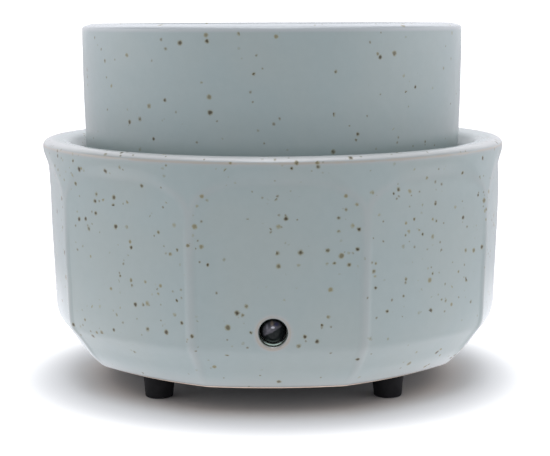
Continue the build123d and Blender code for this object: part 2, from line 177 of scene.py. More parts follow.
# ------------------------------------------------------------------ node helpers
class Tree:
    def __init__(self, name):
        self.mat = bpy.data.materials.new(name)
        self.mat.use_nodes = True
        self.nt = self.mat.node_tree
        self.nt.nodes.clear()
        self.out = self.nt.nodes.new("ShaderNodeOutputMaterial")
        self.bsdf = self.nt.nodes.new("ShaderNodeBsdfPrincipled")
        self.nt.links.new(self.bsdf.outputs[0], self.out.inputs[0])

    def node(self, kind, attrs=None, **inputs):
        nd = self.nt.nodes.new(kind)
        for k, v in (attrs or {}).items():
            setattr(nd, k, v)
        for k, v in inputs.items():
            self.put(nd, k, v)
        return nd

    def put(self, nd, key, v):
        key = key.replace("_", " ")
        sock = nd.inputs[int(key[1:])] if key[0] == "i" and key[1:].isdigit() else nd.inputs[key]
        if isinstance(v, bpy.types.NodeSocket):
            self.nt.links.new(v, sock)
        else:
            sock.default_value = v

    def set(self, **inputs):
        for k, v in inputs.items():
            self.put(self.bsdf, k, v)

    def math(self, op, a, b=None, c=None, clamp=False):
        nd = self.node("ShaderNodeMath", {"operation": op, "use_clamp": clamp}, i0=a)
        if b is not None:
            self.put(nd, "i1", b)
        if c is not None:
            self.put(nd, "i2", c)
        return nd.outputs[0]

    def mix(self, f, a, b, blend="MIX"):
        nd = self.nt.nodes.new("ShaderNodeMix")
        nd.data_type = "RGBA"
        nd.blend_type = blend
        nd.clamp_factor = True
        for idx, v in ((0, f), (6, a), (7, b)):
            if isinstance(v, bpy.types.NodeSocket):
                self.nt.links.new(v, nd.inputs[idx])
            else:
                nd.inputs[idx].default_value = v
        return nd.outputs[2]

    def ramp(self, v, lo, hi, out0=0.0, out1=1.0, smooth=True):
        nd = self.node("ShaderNodeMapRange", {"interpolation_type": "SMOOTHSTEP" if smooth else "LINEAR", "clamp": True}
                       if smooth else {"interpolation_type": "LINEAR", "clamp": True},
                       i0=v, i1=lo, i2=hi, i3=out0, i4=out1)
        return nd.outputs[0]

    def coords(self):
        """Object coordinates in millimetres."""
        tc = self.node("ShaderNodeTexCoord")
        sc = self.node("ShaderNodeVectorMath", {"operation": "SCALE"}, i0=tc.outputs["Object"])
        sc.inputs["Scale"].default_value = 1000.0
        return sc.outputs[0]

    def noise(self, p, scale, detail=2.0, rough=0.5, distortion=0.0, dims="3D", out=0):
        nd = self.node("ShaderNodeTexNoise", {"noise_dimensions": dims}, Vector=p, Scale=scale, Detail=detail,
                       Roughness=rough, Distortion=distortion)
        return nd.outputs[out]

    def shift(self, p, v):
        return self.node("ShaderNodeVectorMath", {"operation": "ADD"}, i0=p, i1=v).outputs[0]

    def bump(self, height, dist_mm, strength=1.0, normal=None):
        nd = self.node("ShaderNodeBump", {}, Strength=strength, Distance=dist_mm * 0.001, Height=height)
        if normal is not None:
            self.put(nd, "Normal", normal)
        return nd.outputs[0]

    def attr(self, name):
        return self.node("ShaderNodeAttribute", {"attribute_type": "GEOMETRY", "attribute_name": name}).outputs["Fac"]


def srgb(r, g, b):
    def lin(c):
        c /= 255.0
        return c / 12.92 if c <= 0.04045 else ((c + 0.055) / 1.055) ** 2.4

    return (lin(r), lin(g), lin(b), 1.0)


# ------------------------------------------------------------------ glaze
GLAZE = (0.242, 0.297, 0.294, 1.0)
GLAZE_WARM = (0.252, 0.299, 0.290, 1.0)
BREAK = (0.302, 0.303, 0.296, 1.0)
BREAK_DEEP = (0.290, 0.276, 0.244, 1.0)
# painted highlight colours, mixed in where the rims catch the light; on the base also painted floor light along the
# bottom edge
PAINTED_LIGHT_BASE = (0.332, 0.346, 0.338, 1.0)
PAINTED_LIGHT_DISH = (0.318, 0.345, 0.350, 1.0)
CLAY = (0.80, 0.65, 0.52, 1.0)


def specks(t, p, cell, r_small, r_big, dens, power=2.5, offset=(0, 0, 0)):
    """Iron specks: a halo mask, a core mask and a random value for each."""
    q = t.shift(p, offset)
    wob = t.node("ShaderNodeVectorMath", {"operation": "SUBTRACT"},
                 i0=t.noise(q, 1.1, 1.0, 0.5, out=1), i1=(0.5, 0.5, 0.5))
    wob2 = t.node("ShaderNodeVectorMath", {"operation": "SCALE"}, i0=wob.outputs[0])
    wob2.inputs["Scale"].default_value = 0.55
    q = t.node("ShaderNodeVectorMath", {"operation": "ADD"}, i0=q, i1=wob2.outputs[0]).outputs[0]
    v = t.node("ShaderNodeTexVoronoi", {"voronoi_dimensions": "3D", "feature": "F1"}, Vector=q, Scale=1.0 / cell,
               Randomness=1.0)
    col = t.node("ShaderNodeSeparateColor", {}, i0=v.outputs["Color"])
    dist = t.math("MULTIPLY", v.outputs["Distance"], cell)
    size = t.math("POWER", col.outputs[0], power)
    rad = t.math("MULTIPLY_ADD", size, r_big - r_small, r_small)
    there = t.math("LESS_THAN", col.outputs[1], dens)
    soft = t.math("MULTIPLY", rad, 0.45)
    halo = t.ramp(dist, t.math("ADD", rad, 0.08), t.math("SUBTRACT", rad, soft))
    core = t.ramp(dist, t.math("MULTIPLY", rad, 0.78), t.math("MULTIPLY", rad, 0.34))
    return t.math("MULTIPLY", halo, there), t.math("MULTIPLY", core, there), col.outputs[2]


def glaze(name, density, seed, painted_light, tint, strength=1.0):
    t = Tree(name)
    p = t.shift(t.coords(), seed)
    cloud = t.noise(p, 1 / 34.0, 2.0, 0.55)
    cool, warm = (tuple(a * b for a, b in zip(c, tint)) for c in (GLAZE, GLAZE_WARM))
    base = t.mix(t.ramp(cloud, 0.35, 0.68), cool, warm)
    fine = t.noise(p, 1 / 3.2, 3.0, 0.6)
    base = t.mix(t.ramp(fine, 0.3, 0.75, 0.0, 0.10), base, (0.31, 0.36, 0.362, 1.0))
    # painted light: lighter on the rims' highlight band, and on the base's bottom edge as if lit from the floor
    base = t.mix(t.attr("painted_light"), base, painted_light)
    # the glaze thins on edges and the clay shows through it
    wavy = t.noise(p, 1 / 5.0, 2.0, 0.6)
    thin = t.math("MULTIPLY", t.attr("thin"), t.ramp(wavy, 0.1, 0.8, 0.55, 1.15), clamp=True)
    base = t.mix(thin, base, t.mix(t.ramp(thin, 0.45, 0.85), BREAK, BREAK_DEEP))
    # iron specks of two sizes, gathered loosely into drifts, fewer low down on the base
    drift = t.noise(p, 1 / 15.0, 2.0, 0.5)
    height = t.node("ShaderNodeSeparateXYZ", {}, i0=t.coords()).outputs[2]
    d1 = t.math("MULTIPLY", t.ramp(drift, 0.36, 0.62, 0.18 * density, 1.0 * density), t.ramp(height, 12.0, 27.0, 0.32, 1.0))
    h1, c1, r1 = specks(t, p, 3.0, 0.58, 1.08, t.math("MULTIPLY", d1, 0.60), 1.25)
    h2, c2, r2 = specks(t, p, 2.2, 0.34, 0.60, t.math("MULTIPLY", d1, 0.40), 1.3, (13.0, 5.0, 31.0))
    tone = t.mix(r1, srgb(122, 113, 68), srgb(108, 106, 80))
    depth = t.ramp(r1, 0.12, 0.5, 0.30, 1.0)
    base = t.mix(t.math("MULTIPLY", h1, 0.72 * strength), base, tone)
    base = t.mix(t.math("MULTIPLY", t.math("MULTIPLY", c1, depth), 0.95 * strength), base, srgb(44, 35, 16))
    base = t.mix(t.math("MULTIPLY", h2, 0.55 * strength), base, srgb(116, 114, 96))
    base = t.mix(t.math("MULTIPLY", c2, 0.60 * strength), base, srgb(80, 74, 56))
    bare = t.ramp(t.math("ADD", t.attr("bare"), t.math("MULTIPLY", t.math("SUBTRACT", wavy, 0.5), 0.5)), 0.42, 0.60)
    grog = t.mix(t.ramp(t.noise(p, 1.6, 3.0, 0.7), 0.35, 0.7), CLAY, (0.64, 0.48, 0.36, 1.0))
    base = t.mix(bare, base, grog)
    t.set(Base_Color=base)
    rough = t.math("MULTIPLY_ADD", t.noise(p, 1 / 2.2, 3.0, 0.6), 0.08, 0.20)
    rough = t.math("MAXIMUM", rough, t.math("MULTIPLY", bare, 0.85))
    t.set(Roughness=rough, IOR=1.5)
    # inside the lamp hole: painted shade, dark olive, just inside the edge, and a painted bright crescent further in at
    # the bottom
    base = t.mix(t.attr("painted_hole_shade"), base, (0.050, 0.056, 0.040, 1.0))
    base = t.mix(t.attr("painted_hole_light"), base, (0.72, 0.92, 0.86, 1.0))
    t.set(Base_Color=base)
    if name == "glaze_base":
        # painted light: the bright crescent in the lamp hole also glows a little, though no lamp is there
        t.bsdf.inputs["Emission Color"].default_value = (0.46, 0.58, 0.53, 1.0)
        t.set(Emission_Strength=t.math("MULTIPLY", t.attr("painted_hole_light"), 0.58))
    height = t.math("MULTIPLY", t.noise(p, 1 / 1.3, 2.0, 0.5), 0.035)
    height = t.math("MULTIPLY_ADD", t.noise(p, 1 / 9.0, 1.0, 0.5), 0.20, height)
    height = t.math("ADD", height, t.math("MULTIPLY", t.math("MULTIPLY", t.noise(p, 2.2, 3.0, 0.7), 0.10), bare))
    t.set(Normal=t.bump(height, 1.0, 0.55))
    return t.mat


glaze_base = glaze("glaze_base", 1.0, (7.0, 3.0, 2.0), PAINTED_LIGHT_BASE, (0.995, 0.985, 0.978, 1.0))
glaze_dish = glaze("glaze_dish", 0.34, (90.0, 41.0, 17.0), PAINTED_LIGHT_DISH, (1.0, 1.0, 1.0, 1.0), 0.95)

# ------------------------------------------------------------------ the base's outer wall
PANELS, TURN = 9, 0.77
ARC_BACK = 42.0
panel_mid = pchip([7.9, 8.2, 8.6, 9.2, 10, 11, 12.5, 14, 16, 18, 20, 21.5, 23, 24.5, 27, 32, 40, 50, 58, 62, 66, 80],
                  [58.47, 59.27, 60.23, 61.2, 62.0, 63.0, 64.4, 65.6, 66.95, 68.4, 69.9, 71.05, 71.8, 72.12, 72.33,
                   72.47, 72.75, 73.15, 73.36, 73.43, 73.5, 73.5])
crest_up = pchip([7.9, 9.0, 10.5, 12.5, 20, 27, 46, 52, 58, 60, 80],
                 [0.0, 0.04, 0.08, 0.14, 0.26, 0.31, 0.30, 0.25, 0.05, 0.0, 0.0])
drop = pchip([0, 0.15, 0.31, 0.46, 0.615, 0.77, 0.92, 1.0], [0, 0.07, 0.17, 0.33, 0.53, 0.77, 0.98, 1.0])
lean = pchip([0, 10, 16, 62, 75.5, 90], [0, 0.1, 0.55, 0.55, 0.0, 0.0])

# the arch: straight sides into a flattened half ellipse, in millimetres along the wall from the panel's middle
ARCH_S0, ARCH_A, ARCH_Z0, ARCH_B, ARCH_P = 4.0, 20.2, 60.4, 9.0, 2.4
_q = np.linspace(0, math.pi / 2, 121)
arch_line = np.stack([ARCH_S0 + ARCH_A * np.cos(_q) ** (2 / ARCH_P), ARCH_Z0 + ARCH_B * np.sin(_q) ** (2 / ARCH_P)], 1)
arch_line = np.vstack([np.stack([np.full(60, ARCH_S0 + ARCH_A), np.linspace(4, ARCH_Z0 - 0.5, 60)], 1), arch_line,
                       [[0.0, ARCH_Z0 + ARCH_B]]])
_fine = [arch_line[0]]
for _p in arch_line[1:]:
    _k = max(1, int(np.linalg.norm(_p - _fine[-1]) / 0.3))
    _a = _fine[-1]
    _fine.extend(_a + (_p - _a) * (i + 1) / _k for i in range(_k))
arch_line = np.array(_fine)
flank_w = pchip([0, 12, 16, 20, 23, 24.3, 30], [6.4, 6.2, 5.2, 3.4, 2.3, 1.95, 1.95])


def arch_distance(s, z):
    """Signed distance in mm from the arch line, positive outside it, and the place on the line."""
    s, z = np.abs(np.ravel(s)), np.ravel(z)
    d, where = np.empty(len(s)), np.empty(len(s))
    for k in range(0, len(s), 20000):
        ds = s[k:k + 20000, None] - arch_line[None, :, 0]
        dz = z[k:k + 20000, None] - arch_line[None, :, 1]
        dd = ds * ds + dz * dz
        j = np.argmin(dd, 1)
        d[k:k + 20000] = np.sqrt(dd[np.arange(len(j)), j])
        where[k:k + 20000] = arch_line[j, 0]
    inside = np.where(z < ARCH_Z0, s < ARCH_S0 + ARCH_A,
                      np.where(s < ARCH_S0, z < ARCH_Z0 + ARCH_B,
                               np.abs((s - ARCH_S0) / ARCH_A) ** ARCH_P + np.abs((z - ARCH_Z0) / ARCH_B) ** ARCH_P < 1))
    return np.where(inside, -d, d), where


def arc_r(rm, deg):
    a = np.radians(deg)
    return -ARC_BACK * np.cos(a) + np.sqrt((rm + ARC_BACK) ** 2 - (ARC_BACK * np.sin(a)) ** 2)


def outer(az, z):
    """Outer radius of the base, and how thin the glaze is there, for azimuths in degrees from the front."""
    az, z = np.broadcast_arrays(np.asarray(az, float), np.asarray(z, float))
    shape = az.shape
    az, z = az.ravel(), z.ravel()
    delta = (az - TURN + 20.0) % 40.0 - 20.0
    s = delta * math.radians(1) * 75.0
    d, where = arch_distance(s, z)
    t = 1 - d / flank_w(where)
    soft = 1 - ease((where - 13) / 9)
    pocket = drop(np.clip(t, 0, 1)) * (1 - soft) + ease(t) * soft
    rm = panel_mid(z)
    crest = np.minimum(arc_r(rm, 20.0) + crest_up(z), 75.0)
    crest = np.where(z > 58, 75.0, crest)
    crest = np.where((z > 52) & (z <= 58), crest + (75.0 - crest) * ease((z - 52) / 6), crest)
    r = crest + (arc_r(rm, delta) - crest) * pocket
    fade = ease((z - 9.0) / 8.0)
    thin = 0.30 * np.exp(-(((d - 1.7) / 1.1) ** 2)) * (0.45 + 0.55 * fade)
    thin *= 0.30 + 0.70 * ease((np.abs(s) - 13) / 10)
    return r.reshape(shape), thin.reshape(shape)


def outer_point(az, z):
    r, thin = outer(az, z)
    a = np.radians(az)
    return np.stack([r * np.sin(a) + lean(z), -r * np.cos(a), z + 0 * r], -1), thin


def outer_y(x, z, side):
    """Where the outer wall is along Y, for a point given by X and Z; side -1 is the front."""
    x, z = np.asarray(x, float), np.asarray(z, float)
    xx = x - lean(z)
    y = side * np.full(np.broadcast(xx, z).shape, 72.0)
    for _ in range(12):
        az = np.degrees(np.arctan2(xx, -y))
        r, _t = outer(az, z)
        y = side * np.sqrt(np.maximum(r * r - xx * xx, 0))
    return y, _t


inner_r = pchip([11.6, 12.6, 24.0, 27.0, 40.0, 50.9], [57.0, 59.6, 66.5, 67.1, 67.7, 68.1])


def spread(stops):
    """Numbers from one stop to the next at each stop's own step."""
    out = [stops[0][0]]
    for (a, step), (b, _s) in zip(stops[:-1], stops[1:]):
        k = max(1, int(round((b - a) / step)))
        out.extend(a + (b - a) * (i + 1) / k for i in range(k))
    return np.array(out)


RIM_LINE = 1.15


def build_base():
    # azimuths: close together at the ribs, over the arches' shoulders and where the two holes are
    per = spread([(-20.0, 0.33), (-18.0, 0.5), (-14.0, 1.0), (-9.0, 1.5), (9.0, 1.0), (14.0, 0.5), (18.0, 0.33), (20.0, 0.3)])[:-1]
    front = spread([(-9.0, 0.75), (9.0, 0.75)])[:-1]
    az = []
    for k in range(PANELS):
        block = per if k else np.concatenate([per[per < -9.0 + 1e-6][:-1], front, per[per >= 9.0 - 1e-6]])
        az.extend(TURN + 40.0 * k + block)
    az = np.array(az)
    # outer profile heights
    zo = spread([(7.9, 0.12), (8.6, 0.24), (10.0, 0.5), (12.0, 0.9), (27.0, 1.0), (41.0, 2.0), (57.0, 1.0), (62.0, 0.62), (76.2, 0.6)])
    n, mo = len(az), len(zo)
    rows, thin_rows, bare_rows, painted_light_rows = [], [], [], []
    for z in zo:
        p, th = outer_point(az, np.full(n, z))
        rows.append(p)
        th = np.maximum(th, 0.95 * math.exp(-(((z - 8.75) / 0.32) ** 2)) + RIM_LINE * math.exp(-(((z - 76.75) / 0.5) ** 2)))
        thin_rows.append(th)
        bare_rows.append(np.full(n, float(np.clip((8.62 - z) / 0.4, 0, 1))))
        # painted floor light: the wall's lowest few millimetres are lightened
        painted_light_rows.append(np.full(n, 0.40 * float(1 - ease((z - 9.6) / 3.2))))
    a = np.radians(az)

    def ring(r, z, thin=0.0, bare=0.0, off=0.0, painted_light=0.0):
        rows.append(np.stack([r * np.sin(a) + off, -r * np.cos(a), np.full(n, z)], 1))
        thin_rows.append(np.full(n, thin))
        bare_rows.append(np.full(n, bare))
        painted_light_rows.append(np.full(n, painted_light))

    # rim: canted shoulder, top that falls a little inwards, broad round lip that runs down into the well
    q = np.linspace(0, math.pi / 2, 15)
    rim = [(75.0, 76.2, 0)] + [(72.2 + 2.8 * math.cos(t), 76.35 + 2.15 * math.sin(t), 0) for t in q]
    rim = round_path(rim + [(66.6, 77.9, 3.4), (64.0, 74.4, 5.0), (62.9, 69.5, 4.0), (62.8, 66.0, 0)], step=0.4)
    rim = split_path(rim, 1.2)
    length = np.concatenate([[0], np.cumsum(np.linalg.norm(np.diff(rim, axis=0), axis=1))])
    # the rim's outer top is lightened as a painted highlight, strongest near the outer edge
    for (r, z), l in list(zip(rim, length))[1:]:
        line = math.exp(-(((l - 0.55) / 0.50) ** 2)) if r > 70 else 0.0
        ring(r, z, RIM_LINE * line, 0.0, 0.0, float(ease((l - 0.85) / 0.6) * ease((r - 69.6) / 3.8)))
    well = round_path([(62.8, 66.0, 0), (62.8, 58.5, 1.7), (53.4, 58.5, 0.35), (53.4, 57.0, 0.15), (40.0, 57.0, 0.5),
                       (40.0, 53.0, 0.5), (66.0, 53.0, 1.2), (68.1, 50.9, 0)], step=0.5)
    well = split_path(well, 6.5)
    for r, z in well[1:]:
        ring(r, z)
    inner_z = np.array([z for k, z in enumerate(zo) if 19.5 < z < 40.5 or (13.0 < z < 50.0 and k % 2 == 0)])[::-1]
    j_inner0 = len(rows)
    for z in inner_z:
        ring(float(inner_r(z)), z)
    foot = round_path([(59.6, 12.6, 0.5), (57.0, 11.6, 0.4), (54.6, 11.6, 0.2), (54.6, 10.4, 0.2), (56.6, 10.4, 0.15),
                       (56.6, 7.9, 0.25), (58.4, 7.9, 0)], step=0.35)
    for r, z in foot[:-1]:
        ring(r, z, 0.0, 1.0 if z < 10.2 else 0.0)
    m = len(rows)
    verts = np.concatenate(rows)
    # the hand-made rim stands a little higher at its sides and back than at the front
    rise = 0.7 * (1 - np.exp(-((((az + 180) % 360 - 180) / 50.0) ** 2)))
    verts[:, 2] += np.tile(rise, m) * ease((verts[:, 2] - 66.0) / 9.0)
    thin, bare, painted_light = np.concatenate(thin_rows), np.concatenate(bare_rows), np.concatenate(painted_light_rows)
    drop_cells = set()

    extra_v, extra_t, extra_b, extra_p, extra_r, faces = [], [], [], [], [], []

    def new_ring(points, th=0.0, br=0.0, painted_hole_shade=0.0, painted_hole_light=0.0):
        start = len(verts) + sum(len(v) for v in extra_v)
        extra_v.append(np.asarray(points, float))
        extra_t.append(np.broadcast_to(np.asarray(th, float), (len(points),)).copy())
        extra_b.append(np.broadcast_to(np.asarray(br, float), (len(points),)).copy())
        extra_p.append(np.broadcast_to(np.asarray(painted_hole_shade, float), (len(points),)).copy())
        extra_r.append(np.broadcast_to(np.asarray(painted_hole_light, float), (len(points),)).copy())
        return list(range(start, start + len(points)))

    def loop_of(i_list, j_list):
        """Vertices round a block of cells, anticlockwise seen from outside for a front-facing wall."""
        i0, i1, j0, j1 = 0, len(i_list) - 1, 0, len(j_list) - 1
        seq = [(i, j0) for i in range(i0, i1)] + [(i1, j) for j in range(j0, j1)]
        seq += [(i, j1) for i in range(i1, i0, -1)] + [(i0, j) for j in range(j1, j0, -1)]
        return [j_list[j] * n + i_list[i] for i, j in seq]

    def bridge(a_ring, b_ring, flip=False):
        k = len(a_ring)
        for i in range(k):
            q = [a_ring[i], a_ring[(i + 1) % k], b_ring[(i + 1) % k], b_ring[i]]
            faces.append(q[::-1] if flip else q)

    def hole(centre_az, zc, radius, half_s, half_z, side, edge, seat=None):
        rel = (az - centre_az + 180) % 360 - 180
        order = np.argsort(rel)
        pick = [int(i) for i in order if abs(rel[i]) * math.radians(1) * 73 <= half_s]
        j_out = [j for j in range(mo) if abs(zo[j] - zc) <= half_z]
        j_in = [j_inner0 + k for k in range(len(inner_z)) if abs(inner_z[k] - zc) <= half_z]
        j_in = j_in[::-1]
        for blk in (j_out, j_in):
            lo, hi = min(blk), max(blk)
            for i in pick[:-1]:
                for j in range(lo, hi):
                    drop_cells.add((i, j))
        outer_loop = loop_of(pick, j_out)
        inner_loop = loop_of(pick, j_in)
        xz = verts[outer_loop][:, [0, 2]]
        psi = np.arctan2(xz[:, 1] - zc, xz[:, 0])
        target = radius + edge if seat is None else seat[0] + 0.25
        circ = np.stack([target * np.cos(psi), zc + target * np.sin(psi)], 1)
        last, steps = outer_loop, 5
        for k in range(1, steps + 1):
            f = ease(k / steps) * 0.35 + 0.65 * k / steps
            q = xz + (circ - xz) * f
            y, th = outer_y(q[:, 0], q[:, 1], side)
            rad = np.hypot(q[:, 0], q[:, 1] - zc)
            halo = np.exp(-(((rad - target) / 0.5) ** 2)) * (1.0 - 0.25 * np.sin(psi))
            cur = new_ring(np.stack([q[:, 0], y, q[:, 1]], 1), np.maximum(th, halo))
            bridge(last, cur)
            last = cur
        y_edge = y.copy()
        into = -side
        if seat is not None:
            # flat ground face that the grommet sits on
            seat_r, seat_y = seat
            for rr, dy in ((seat_r + 0.07, 0.07), (seat_r, 0.22)):
                cur = new_ring(np.stack([rr * np.cos(psi), np.where(side * y_edge + 0.0 > side * seat_y, y_edge + into * dy, y_edge),
                                         zc + rr * np.sin(psi)], 1), 0.6)
                bridge(last, cur)
                last = cur
            for rr in (seat_r, seat_r - 0.15, (seat_r + radius) / 2, radius + 0.25):
                cur = new_ring(np.stack([rr * np.cos(psi), np.full(len(psi), seat_y), zc + rr * np.sin(psi)], 1), 0.0, 1.0)
                bridge(last, cur)
                last = cur
            y_edge = np.full(len(psi), seat_y)
            turns = ((0.07, 0.07), (0.0, 0.25))
            for dr, dy in turns:
                cur = new_ring(np.stack([(radius + dr) * np.cos(psi), y_edge + into * dy, zc + (radius + dr) * np.sin(psi)], 1))
                bridge(last, cur)
                last = cur
            depth0 = 0.25
        else:
            # fillet into the hole; its inner rings begin the painted shade
            for k in range(1, 7):
                th = k / 6 * math.pi / 2
                rr = radius + edge * (1 - math.sin(th))
                cur = new_ring(np.stack([rr * np.cos(psi), y_edge + into * edge * (1 - math.cos(th)), zc + rr * np.sin(psi)], 1),
                               (1.05 - 0.2 * np.sin(psi)) * math.exp(-((k / 3.4) ** 4)), 0.0, float(ease((k - 2.6) / 2.0)))
                bridge(last, cur)
                last = cur
            depth0 = edge
        zz = zc + radius * np.sin(psi)
        y_in = side * np.sqrt(inner_r(zz) ** 2 - (radius * np.cos(psi)) ** 2)
        # the bottom of the hole, where the painted bright crescent goes
        low = ease((-np.sin(psi) - 0.72) / 0.26)
        # hole wall: painted shade over its first part, then the painted bright crescent at its bottom
        for f in (0.06, 0.14, 0.2, 0.3, 0.5, 0.75, 1.0):
            y = (y_edge + into * depth0) * (1 - f) + y_in * f
            cur = new_ring(np.stack([radius * np.cos(psi), y, zz], 1), 0.0, 0.0,
                           0.0 if seat is not None else float(1 - ease((f - 0.16) / 0.10)),
                           0.0 if seat is not None else float(ease((f - 0.16) / 0.10) * (1 - ease((f - 0.5) / 0.25))) * low)
            bridge(last, cur)
            last = cur
        xz = verts[inner_loop][:, [0, 2]]
        circ = np.stack([radius * np.cos(psi), zz], 1)
        for k in range(1, 4):
            f = k / 4
            q = circ + (xz - circ) * f
            y = side * np.sqrt(inner_r(q[:, 1]) ** 2 - q[:, 0] ** 2)
            cur = new_ring(np.stack([q[:, 0], y, q[:, 1]], 1))
            bridge(last, cur)
            last = cur
        bridge(last, inner_loop)

    hole(0.0, 27.4, 4.1, 8.0, 7.2, -1, 0.95)
    hole(180.0, 30.0, 6.1, 11.0, 10.4, 1, 0.4, seat=(7.7, 72.4))

    for j in range(m):
        jj = (j + 1) % m
        for i in range(n):
            if (i, j) in drop_cells:
                continue
            k = (i + 1) % n
            faces.append([j * n + i, j * n + k, jj * n + k, jj * n + i])
    verts = np.concatenate([verts] + extra_v)
    thin = np.concatenate([thin] + extra_t)
    bare = np.concatenate([bare] + extra_b)
    painted_hole_shade = np.concatenate([np.zeros(len(painted_light))] + extra_p)
    painted_hole_light = np.concatenate([np.zeros(len(painted_light))] + extra_r)
    painted_light = np.concatenate([painted_light, np.zeros(len(thin) - len(painted_light))])
    keep = np.zeros(len(verts), bool)
    for f in faces:
        keep[f] = True
    index = np.cumsum(keep) - 1
    faces = [[int(index[v]) for v in f] for f in faces]
    ob = add_mesh("stoneware_base", verts[keep], faces, glaze_base, {"thin": thin[keep], "bare": bare[keep], "painted_light": painted_light[keep], "painted_hole_shade": painted_hole_shade[keep],
                                                                        "painted_hole_light": painted_hole_light[keep]})
    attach(ob, "base")
    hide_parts("base_shell")
    return ob


base = build_base()


# ------------------------------------------------------------------ dish
def build_dish():
    outer_path = [(0, 60.95, 0), (46.0, 60.95, 0.4), (47.0, 60.6, 0.4), (55.4, 60.6, 0.6), (60.5, 61.1, 2.2), (60.75, 66.0, 0)]
    path = list(round_path(outer_path, step=0.25))
    wall = pchip([66, 83.2, 91, 97.5, 104, 110.4, 113.3], [60.75, 61.14, 61.38, 61.49, 61.59, 61.62, 61.6])
    for z in spread([(67.5, 2.2), (113.2, 2.2)]):
        path.append(np.array([float(wall(z)), z]))
    top = round_path([(61.6, 113.2, 0), (61.6, 114.85, 1.3), (57.8, 115.95, 1.5), (57.0, 114.8, 1.0), (57.0, 113.2, 0)], step=0.16)
    path += list(top[1:])
    inside = round_path([(56.95, 112.0, 0), (56.2, 78.0, 6.0), (52.9, 68.6, 9.0), (44.5, 66.5, 6.0), (0, 66.1, 0)], step=0.7)
    path += list(split_path(inside, 2.4))
    path = split_path(np.array(path), 2.6)
    n = 320

    def wander(ang, z):
        return 1 + (0.0007 * np.sin(2 * ang + 0.9) + 0.0004 * np.sin(3 * ang + z * 0.03) + 0.0002 * np.sin(7 * ang)) * (
            1.0 if z > 62 else 0.3)

    verts, faces = lathe(path, n, False, wander)
    z, r = verts[:, 2], np.hypot(verts[:, 0], verts[:, 1])
    thin = 0.10 * np.exp(-(((z - 113.55) / 0.25) ** 2)) * (r > 59.6)
    # painted highlight: the dish's lip is lightened at its top
    painted_light = ease((z - 113.25) / 0.35) * ease((r - 55.5) / 1.2)
    bare = ((z < 60.97) & (r < 57.0)).astype(float)
    verts[:, 0] -= 0.2
    ob = add_mesh("wax_melt_dish", verts, faces, glaze_dish, {"thin": thin, "bare": bare, "painted_light": painted_light})
    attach(ob, "dish")
    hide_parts("wax_dish")
    return ob


dish = build_dish()


# ------------------------------------------------------------------ indicator lens
def smoked_lens():
    """Smoked lens: dark, with a painted reflection, paler, up and to the left, and a painted highlight above the
    middle.
    """
    t = Tree("smoked_lens")
    p = t.coords()
    sep = t.node("ShaderNodeSeparateXYZ", {}, i0=t.shift(p, (0.0, 0.0, -27.4)))
    x, z = sep.outputs[0], sep.outputs[2]
    # painted reflection: paler above a slanting line, up to the left, fading out before the rim
    wob = t.math("MULTIPLY", t.math("SUBTRACT", t.noise(p, 0.5, 2.0, 0.5), 0.5), 0.9)
    slope = t.math("ADD", t.math("SUBTRACT", t.math("MULTIPLY", z, 0.86), t.math("MULTIPLY", x, 0.50)), wob)
    painted_light = t.ramp(slope, -0.05, 0.45)
    r = t.math("SQRT", t.math("ADD", t.math("MULTIPLY", x, x), t.math("MULTIPLY", z, z)))
    painted_light = t.math("MULTIPLY", painted_light, t.ramp(r, 3.3, 2.7))
    grain = t.noise(p, 0.9, 3.0, 0.6)
    inside = t.mix(t.ramp(grain, 0.35, 0.7), (0.075, 0.075, 0.085, 1.0), (0.125, 0.122, 0.138, 1.0))
    color = t.mix(painted_light, t.mix(t.ramp(grain, 0.3, 0.7), (0.006, 0.008, 0.008, 1.0), (0.013, 0.016, 0.016, 1.0)), inside)

    def patch(cx, cz, wx, wz, hard, soft, tint):
        dx = t.math("DIVIDE", t.math("SUBTRACT", x, cx), wx)
        dz = t.math("DIVIDE", t.math("SUBTRACT", z, cz), wz)
        rr = t.math("SQRT", t.math("ADD", t.math("MULTIPLY", dx, dx), t.math("MULTIPLY", dz, dz)))
        return t.mix(t.ramp(rr, soft, hard), color, tint)

    # a warm and a cool tint just above the middle, a painted grey reflection up to the left, and a painted highlight
    # just above the middle
    color = patch(-0.35, 2.55, 0.55, 0.75, 0.5, 1.1, (0.20, 0.165, 0.135, 1.0))
    color = patch(1.0, 2.25, 0.75, 0.6, 0.4, 1.1, (0.055, 0.055, 0.105, 1.0))
    color = patch(-1.75, 1.55, 0.5, 0.9, 0.3, 1.1, (0.20, 0.20, 0.225, 1.0))
    color = patch(-0.05, 1.42, 0.62, 0.32, 0.6, 1.15, (0.46, 0.46, 0.50, 1.0))
    t.set(Base_Color=color, Roughness=0.06, IOR=1.5)
    t.bsdf.inputs["Specular IOR Level"].default_value = 0.1
    return t.mat


def build_lens():
    """A domed lens with a stepped collar, turned about the lamp's own axis."""
    path = [(2.6, 58.0, 0), (3.9, 58.0, 0.2), (3.9, 66.9, 0.25), (3.58, 67.1, 0.1), (3.58, 67.5, 0)]
    path = list(round_path(path, step=0.12))
    for k in range(1, 15):
        a = math.pi / 2 * k / 14
        path.append(np.array([3.58 * math.cos(a), 67.5 + 3.75 * math.sin(a)]))
    path[-1][0] = 0.0
    back = round_path([(0, 65.4, 0), (1.5, 65.3, 0.6), (2.6, 64.4, 0.4), (2.6, 58.2, 0)], step=0.2)
    outer_v, outer_f = lathe(path, 72, False)
    inner_v, inner_f = lathe(back, 72, False)
    n = len(outer_v)
    verts = np.vstack([outer_v, inner_v])
    faces = [list(f) for f in outer_f] + [[v + n for v in f] for f in inner_f]
    # close the rear edge: the first ring of the outside to the last ring of the inside
    for i in range(72):
        k = (i + 1) % 72
        faces.append([i, len(verts) - 72 + i, len(verts) - 72 + k, k])
    # lathe axis Z to the lamp's axis -Y
    turned = np.stack([verts[:, 0], -verts[:, 2], verts[:, 1] + 27.4], 1)
    ob = add_mesh("indicator_dome", turned, faces, smoked_lens(), smooth=True, sharp=40)
    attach(ob, "base")
    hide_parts("indicator_lens")
    return ob


lens = build_lens()


